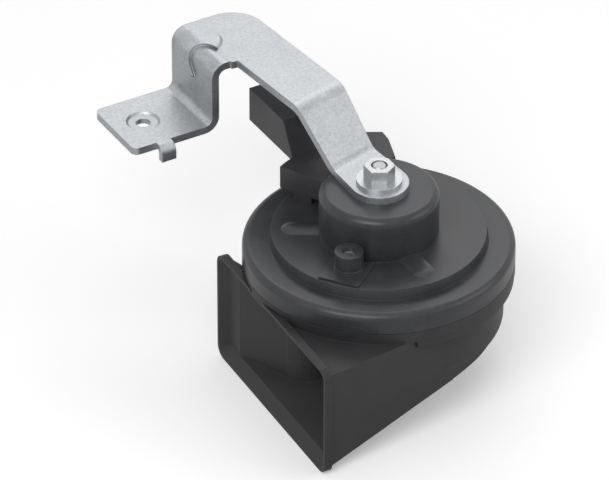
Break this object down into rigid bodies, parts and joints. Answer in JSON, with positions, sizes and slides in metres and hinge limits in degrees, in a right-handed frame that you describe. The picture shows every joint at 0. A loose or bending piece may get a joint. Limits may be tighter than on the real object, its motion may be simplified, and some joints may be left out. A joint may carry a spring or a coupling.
{
  "type": "car horn",
  "caption": "Snail-type electric horn: round crimped housing with coil cup, coiled trumpet with a rectangular mouth, plug socket and folded bracket with a bolt hole.",
  "frame": {"origin": "centre of the bolt hole in the bracket's foot, on the foot's underside", "axes": "+Z along the bolt hole and the horn's own axis, out of the foot's upper face; the trumpet's mouth faces -X; the plug socket opens to +Y"},
  "size_m": [0.1115, 0.1556, 0.0994],
  "materials": {
    "zinc_steel": "zinc plated, dull",
    "nut_steel": "zinc plated",
    "black_steel": "electro-coated, satin",
    "black_plastic": "glass-filled, fine grain",
    "connector_plastic": "moulded, satin",
    "soft_iron": "turned",
    "spring_steel": "rolled",
    "copper": "enamelled wire",
    "tinned_brass": "tinned",
    "contact_metal": "polished",
    "fibre": "hard fibre",
    "natural_nylon": "moulded",
    "gasket_rubber": "smooth"
  },
  "bodies": {
    "horn": {"mounting_bracket": "zinc_steel", "bracket_nut": "nut_steel", "bracket_washer": "nut_steel", "core_stud": "soft_iron", "motor_housing": "black_steel", "adjuster_sleeve": "black_steel", "adjusting_screw": "nut_steel", "flux_plate": "soft_iron", "coil_bobbin": "natural_nylon", "coil_winding": "copper", "coil_leads": "copper", "diaphragm": "spring_steel", "upper_gasket": "gasket_rubber", "lower_gasket": "gasket_rubber", "breaker_arm": "spring_steel", "moving_contact": "contact_metal", "fixed_contact": "contact_metal", "fixed_contact_plate": "tinned_brass", "contact_insulators": "fibre", "contact_rivets": "nut_steel", "suppression_resistor": "fibre", "connector_body": "connector_plastic", "connector_gasket": "gasket_rubber", "connector_screws": "nut_steel", "supply_terminal": "tinned_brass", "ground_terminal": "tinned_brass", "trumpet_cover": "black_plastic", "trumpet_shell": "black_plastic"},
    "armature": {"armature": "soft_iron", "armature_collar": "fibre", "diaphragm_washer": "spring_steel"}
  },
  "joints": [
    {"name": "armature_stroke", "type": "slide", "parent": "horn", "child": "armature", "axis": [0, 0, 1], "range_m": [0, 0.0004], "stiffness_N_per_m": 4000, "deforming": ["diaphragm", "breaker_arm", "moving_contact"]}
  ]
}
